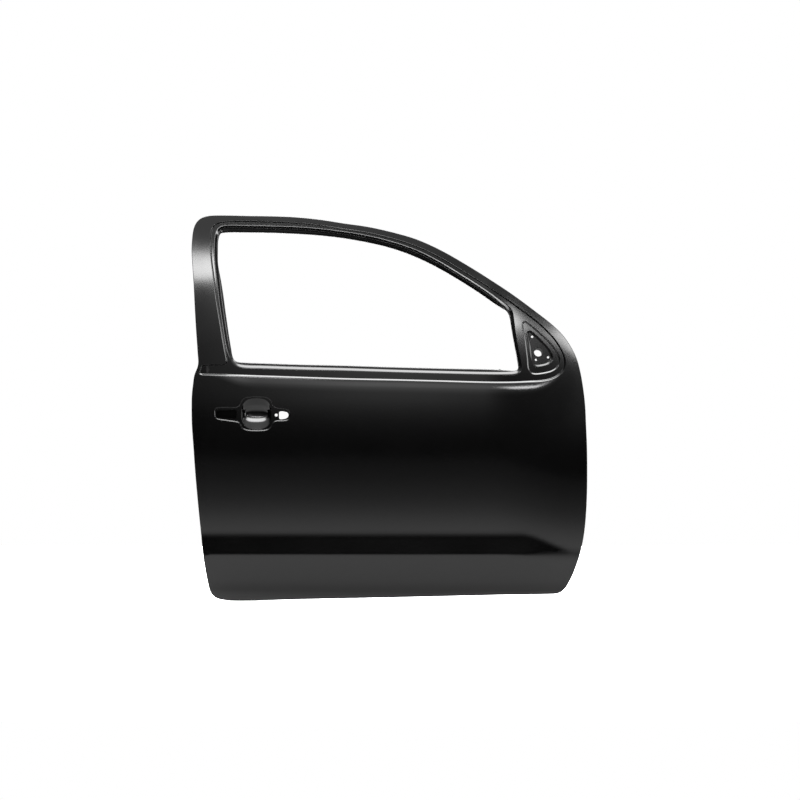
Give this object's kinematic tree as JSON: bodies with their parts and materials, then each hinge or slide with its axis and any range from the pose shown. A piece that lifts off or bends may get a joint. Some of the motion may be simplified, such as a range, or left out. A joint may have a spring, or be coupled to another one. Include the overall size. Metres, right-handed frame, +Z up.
{
  "type": "vehicle door shell",
  "caption": "Right-hand front door shell of a two-door pickup truck: pressed steel skin and inner panel with window frame, mirror sail and handle recess, bare black primer coat.",
  "frame": {"origin": "centre of the upper hinge face on the front wall of the inner panel", "axes": "+X forward along the vehicle and out of the hinge faces, +Y inboard into the cabin, +Z up; the outer skin faces -Y"},
  "size_m": [1.1881, 0.1744, 1.1583],
  "materials": {
    "skin_ecoat": "smooth satin black electro-dip primer on the outer skin",
    "inner_ecoat": "satin black electro-dip primer on the inner panel",
    "reinforcement_ecoat": "duller black electro-dip primer on reinforcements and channels",
    "nut_ecoat": "dull black electro-dip primer on nuts and nut plates"
  },
  "bodies": {
    "root": {"outer_skin": "skin_ecoat", "inner_panel": "inner_ecoat", "outer_belt_reinforcement": "reinforcement_ecoat", "inner_belt_reinforcement": "reinforcement_ecoat", "impact_beam": "reinforcement_ecoat", "impact_beam_front_bracket": "reinforcement_ecoat", "impact_beam_rear_bracket": "reinforcement_ecoat", "upper_hinge_reinforcement": "reinforcement_ecoat", "lower_hinge_reinforcement": "reinforcement_ecoat", "upper_hinge_nut_plate": "nut_ecoat", "lower_hinge_nut_plate": "nut_ecoat", "door_check_reinforcement": "reinforcement_ecoat", "latch_reinforcement": "reinforcement_ecoat", "handle_reinforcement": "reinforcement_ecoat", "mirror_reinforcement": "reinforcement_ecoat", "mirror_weld_nut_top": "nut_ecoat", "mirror_weld_nut_front": "nut_ecoat", "mirror_weld_nut_rear": "nut_ecoat", "front_division_channel": "reinforcement_ecoat", "rear_run_channel": "reinforcement_ecoat", "front_channel_bracket": "reinforcement_ecoat", "rear_channel_bracket": "reinforcement_ecoat", "skin_stiffener": "reinforcement_ecoat", "pull_handle_bracket": "reinforcement_ecoat"}
  },
  "joints": []
}
